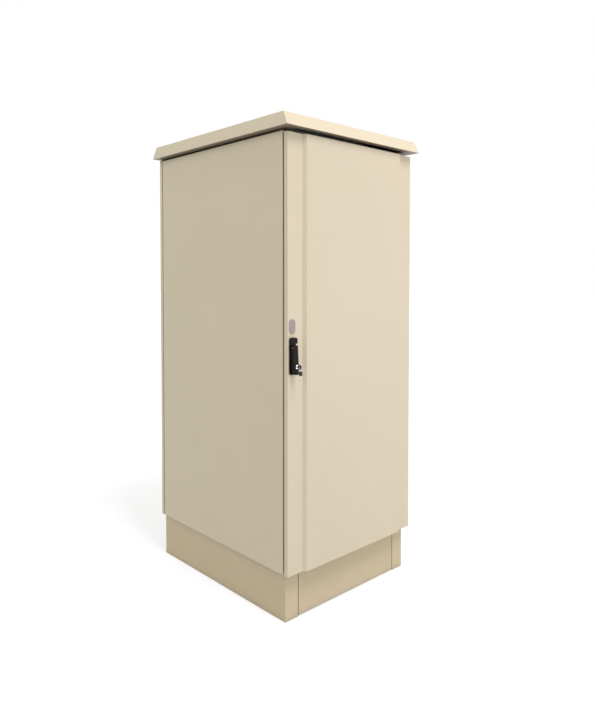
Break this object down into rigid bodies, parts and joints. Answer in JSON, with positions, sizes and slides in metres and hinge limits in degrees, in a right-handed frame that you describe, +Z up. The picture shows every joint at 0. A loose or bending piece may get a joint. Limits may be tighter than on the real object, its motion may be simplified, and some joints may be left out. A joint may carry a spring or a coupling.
{
  "type": "roadside utility cabinet",
  "caption": "Tall free-standing sheet-metal equipment cabinet with a flared roof cap, a full-width hinged door, a swing-handle rod lock with keys, and a bolt-down plinth.",
  "frame": {"origin": "centre of the plan, on the floor, at the middle of the anchor bolt pattern", "axes": "+Z up, -Y towards the door, +X towards the hinge side"},
  "size_m": [0.858, 1.048, 2.08],
  "materials": {
    "cabinet_paint": "fine satin powder coat, ivory beige",
    "zinc_steel": "galvanised, dull",
    "plated_fastener": "zinc plated",
    "black_seal": "foam and moulded rubber",
    "black_handle": "black textured powder coat on a zinc casting",
    "bright_chrome": "bright plated",
    "black_key": "moulded",
    "earth_copper": "bare copper",
    "bare_plate": "brushed, bare",
    "moulded_plastic": "moulded"
  },
  "bodies": {
    "cabinet": {"base_bolts": "plated_fastener", "base_plate": "zinc_steel", "base_screws": "plated_fastener", "cable_grommets": "black_seal", "cross_rail_high": "zinc_steel", "cross_rail_low": "zinc_steel", "depth_rails": "zinc_steel", "earth_bar": "earth_copper", "earth_bolts": "plated_fastener", "earth_standoffs": "moulded_plastic", "equipment_rail_left": "zinc_steel", "equipment_rail_right": "zinc_steel", "front_header": "zinc_steel", "front_sill": "zinc_steel", "gland_plate": "zinc_steel", "hinge_frame_leaves": "zinc_steel", "hinge_pins": "plated_fastener", "hinge_screws": "plated_fastener", "left_side_panel": "cabinet_paint", "lower_keeper": "zinc_steel", "panel_screws": "plated_fastener", "plinth_front_cover": "cabinet_paint", "plinth_left_wall": "cabinet_paint", "plinth_rear_cover": "cabinet_paint", "plinth_right_wall": "cabinet_paint", "post_front_left": "zinc_steel", "post_front_right": "zinc_steel", "post_rear_left": "zinc_steel", "post_rear_right": "zinc_steel", "rear_panel": "cabinet_paint", "right_side_panel": "cabinet_paint", "roof": "cabinet_paint", "roof_rail_front": "zinc_steel", "roof_rail_rear": "zinc_steel", "top_plate": "zinc_steel", "upper_keeper": "zinc_steel"},
    "door": {"door_skin": "cabinet_paint", "door_inner_frame": "zinc_steel", "door_gasket": "black_seal", "hinge_door_leaves": "zinc_steel", "lock_case": "zinc_steel", "rod_guides": "moulded_plastic", "handle_base": "black_handle", "handle_screws": "plated_fastener", "blank_plate": "bare_plate"},
    "spindle": {"handle_spindle": "zinc_steel", "pinion": "zinc_steel", "spindle_screw": "plated_fastener"},
    "lever": {"handle_lever": "black_handle", "handle_pivot_pin": "plated_fastener", "lock_cylinder": "bright_chrome"},
    "key": {"key_blade": "bright_chrome", "key_bow": "black_key", "cylinder_plug": "bright_chrome"},
    "spare_keys": {"key_ring": "bright_chrome", "spare_key_blade": "bright_chrome", "spare_key_bow": "black_key"},
    "upper_rod": {"upper_lock_rod": "zinc_steel"},
    "lower_rod": {"lower_lock_rod": "zinc_steel"}
  },
  "joints": [
    {"name": "door_swing", "type": "hinge", "parent": "cabinet", "child": "door", "pos_m": [0.396, -0.464, 1.105], "axis": [0, 0, 1], "range_deg": [0, 110]},
    {"name": "handle_turn", "type": "hinge", "parent": "door", "child": "spindle", "pos_m": [-0.375, -0.485, 1.139], "axis": [0, 1, 0], "range_deg": [0, 90]},
    {"name": "handle_lift", "type": "hinge", "parent": "spindle", "child": "lever", "pos_m": [-0.375, -0.499, 1.139], "axis": [-1, 0, 0], "range_deg": [0, 35]},
    {"name": "key_turn", "type": "hinge", "parent": "lever", "child": "key", "pos_m": [-0.375, -0.51446, 1.064], "axis": [0, 1, 0], "range_deg": [0, 90]},
    {"name": "spare_key_swing", "type": "hinge", "parent": "key", "child": "spare_keys", "pos_m": [-0.375, -0.53496, 1.05427], "axis": [0, 1, 0], "range_deg": [-100, 100]},
    {"name": "upper_rod_slide", "type": "slide", "parent": "door", "child": "upper_rod", "axis": [0, 0, -1], "range_m": [0, 0.01414]},
    {"name": "lower_rod_slide", "type": "slide", "parent": "door", "child": "lower_rod", "axis": [0, 0, 1], "range_m": [0, 0.01414]}
  ],
  "couplings": [
    {"joint": "upper_rod_slide", "follows": "handle_turn", "m_per_rad": 0.009},
    {"joint": "lower_rod_slide", "follows": "handle_turn", "m_per_rad": 0.009}
  ]
}
